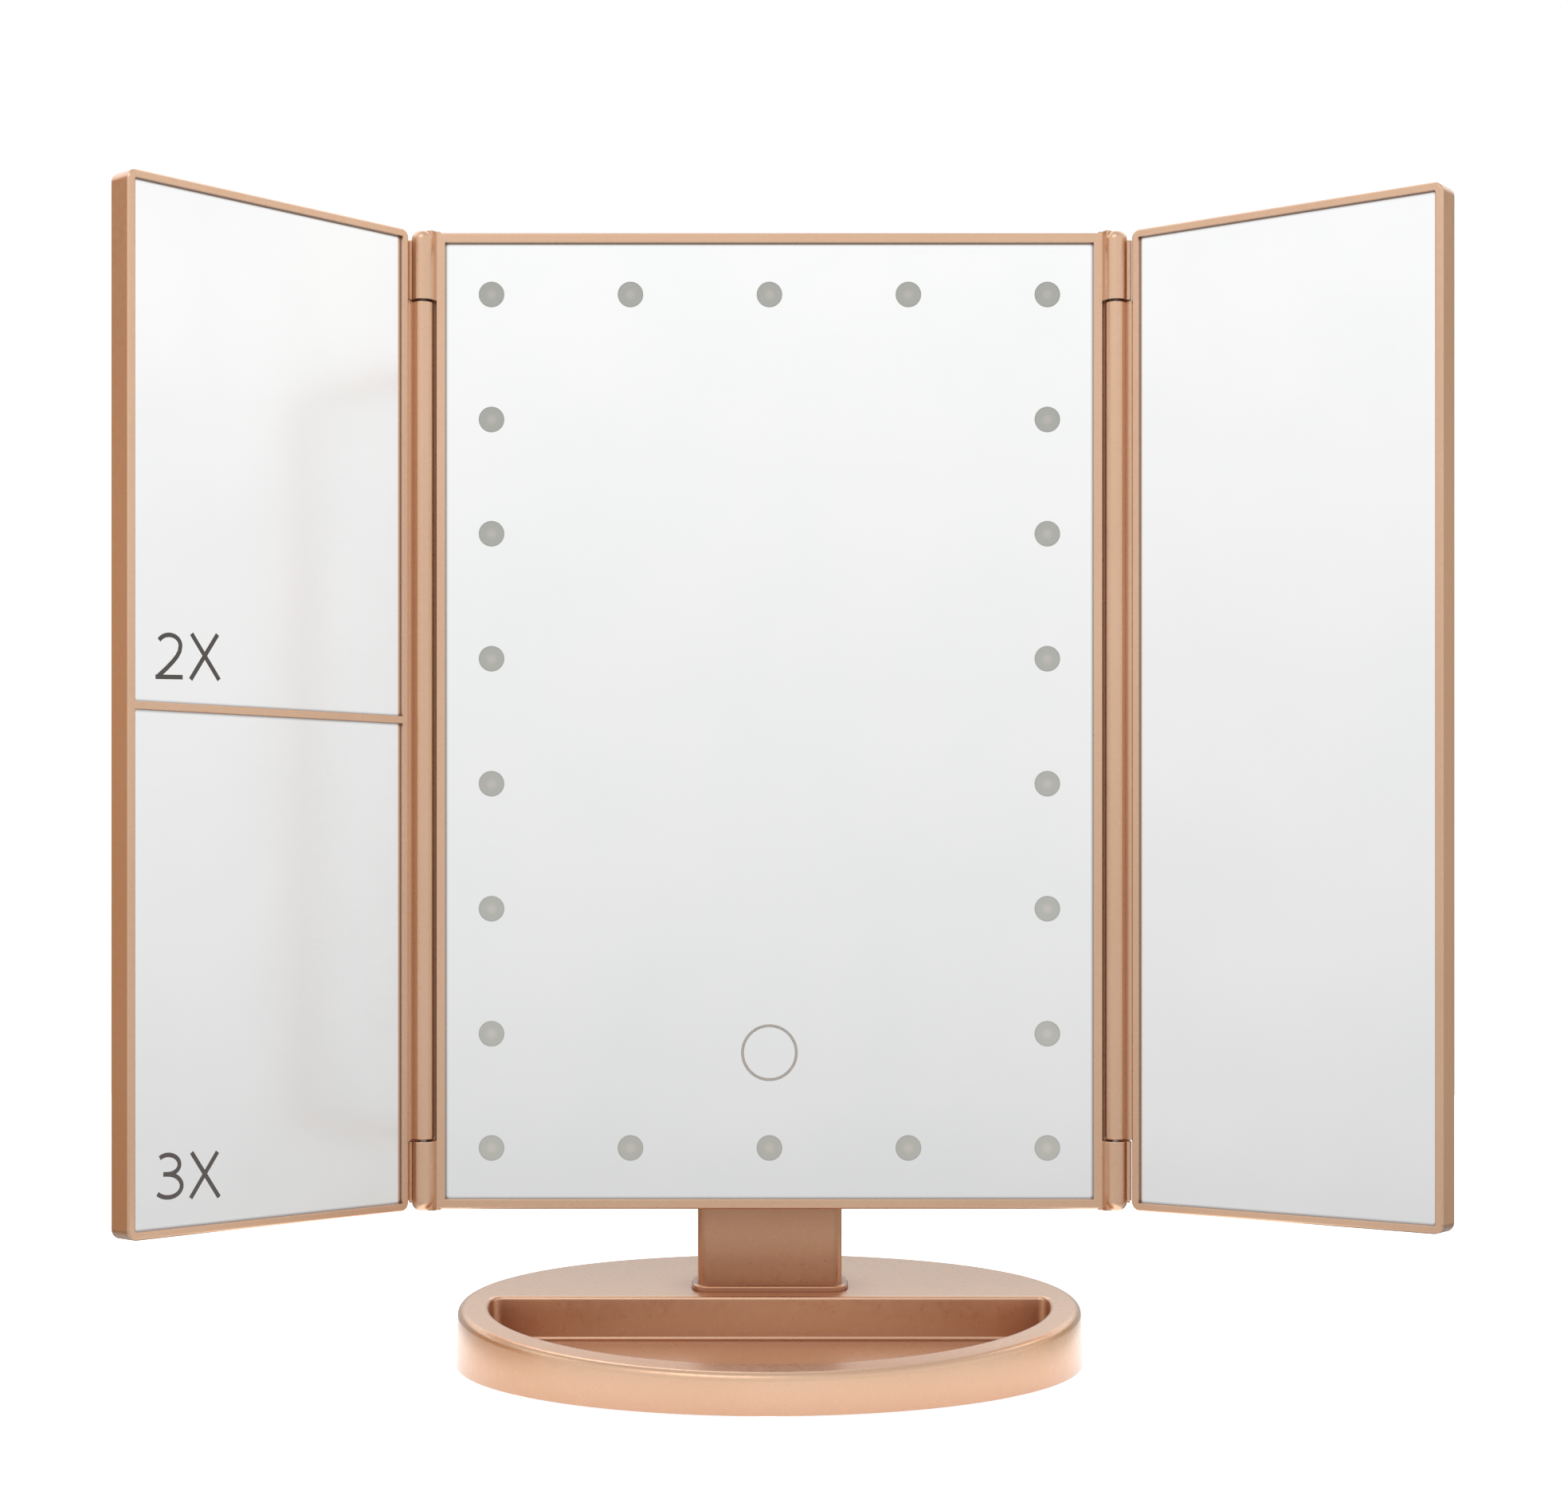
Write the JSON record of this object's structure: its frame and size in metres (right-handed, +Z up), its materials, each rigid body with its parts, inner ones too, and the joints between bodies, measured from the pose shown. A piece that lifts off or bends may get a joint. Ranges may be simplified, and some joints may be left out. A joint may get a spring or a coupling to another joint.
{
  "type": "trifold vanity mirror",
  "caption": "Folding make-up mirror: a lit centre panel with a touch ring, magnifying and plain side wings on vertical hinges, and a tilting neck on an oval base with a tray.",
  "frame": {"origin": "centre of the oval base, on the plane that the rubber feet rest on", "axes": "+Z up, +X to the right of a person looking into the mirror, +Y away from that person"},
  "size_m": [0.3102, 0.1268, 0.2867],
  "materials": {
    "rose_gold": "satin rose-gold lacquer on moulded plastic",
    "mirror_glass": "silvered glass, polished",
    "foam_tape": "black foam",
    "diffuser": "frosted white acrylic",
    "white_board": "white solder mask",
    "green_board": "green solder mask",
    "light_chip": "phosphor",
    "black_chip": "moulded epoxy",
    "copper": "bare foil",
    "lead": "flat ribbon",
    "steel": "plain",
    "zinc_screw": "zinc plated",
    "nylon": "natural nylon",
    "rubber": "matt",
    "cell_jacket": "printed film, left plain",
    "black_plastic": "moulded"
  },
  "bodies": {
    "stand": {"base_shell": "rose_gold", "base_bottom_cover": "black_plastic", "base_screws": "zinc_screw", "rubber_feet": "rubber", "ballast_bars": "steel", "batteries": "cell_jacket", "battery_plates": "steel", "battery_springs": "steel", "power_board": "green_board", "board_chips": "black_chip", "usb_socket": "steel", "switch_housing": "black_plastic", "neck_shell": "rose_gold", "neck_back_cover": "rose_gold", "neck_cover_screws": "zinc_screw", "neck_base_screws": "zinc_screw", "neck_lead": "lead"},
    "head": {"centre_frame": "rose_gold", "centre_back_cover": "rose_gold", "centre_mirror": "mirror_glass", "mirror_tape": "foam_tape", "light_diffuser": "diffuser", "light_board": "white_board", "led_chips": "light_chip", "touch_pad": "copper", "touch_board": "green_board", "touch_chips": "black_chip", "light_lead": "lead", "head_lead": "lead", "back_cover_screws": "zinc_screw", "tilt_bracket": "rose_gold", "tilt_bracket_screws": "zinc_screw", "tilt_pin": "steel", "tilt_nut": "steel", "tilt_washers": "nylon", "left_hinge_bushes": "nylon", "right_hinge_bushes": "nylon"},
    "left_wing": {"left_wing_frame": "rose_gold", "left_wing_back": "rose_gold", "left_mirror_upper": "mirror_glass", "left_mirror_lower": "mirror_glass", "left_wing_tape": "foam_tape", "left_hinge_pins": "steel"},
    "right_wing": {"right_wing_frame": "rose_gold", "right_wing_back": "rose_gold", "right_mirror": "mirror_glass", "right_wing_tape": "foam_tape", "right_hinge_pins": "steel"},
    "battery_door": {"battery_door": "black_plastic"},
    "switch_knob": {"switch_knob": "black_plastic"}
  },
  "joints": [
    {"name": "head_tilt", "type": "hinge", "parent": "stand", "child": "head", "pos_m": [0, 0.0186, 0.0809], "axis": [1, 0, 0], "range_deg": [-85, 6]},
    {"name": "left_wing_hinge", "type": "hinge", "parent": "head", "child": "left_wing", "pos_m": [-0.08655, 0.00158, 0.16183], "axis": [0, 0.0489, 0.9988], "range_deg": [-47.4, 132.6]},
    {"name": "right_wing_hinge", "type": "hinge", "parent": "head", "child": "right_wing", "pos_m": [0.08655, 0.00158, 0.16183], "axis": [0, -0.0489, -0.9988], "range_deg": [-36.5, 143.5]},
    {"name": "battery_door_hinge", "type": "hinge", "parent": "stand", "child": "battery_door", "pos_m": [0, 0.02185, 0.001], "axis": [-1, 0, 0], "range_deg": [0, 80]},
    {"name": "power_switch_slide", "type": "slide", "parent": "stand", "child": "switch_knob", "axis": [1, 0, 0], "range_m": [0, 0.003]}
  ]
}
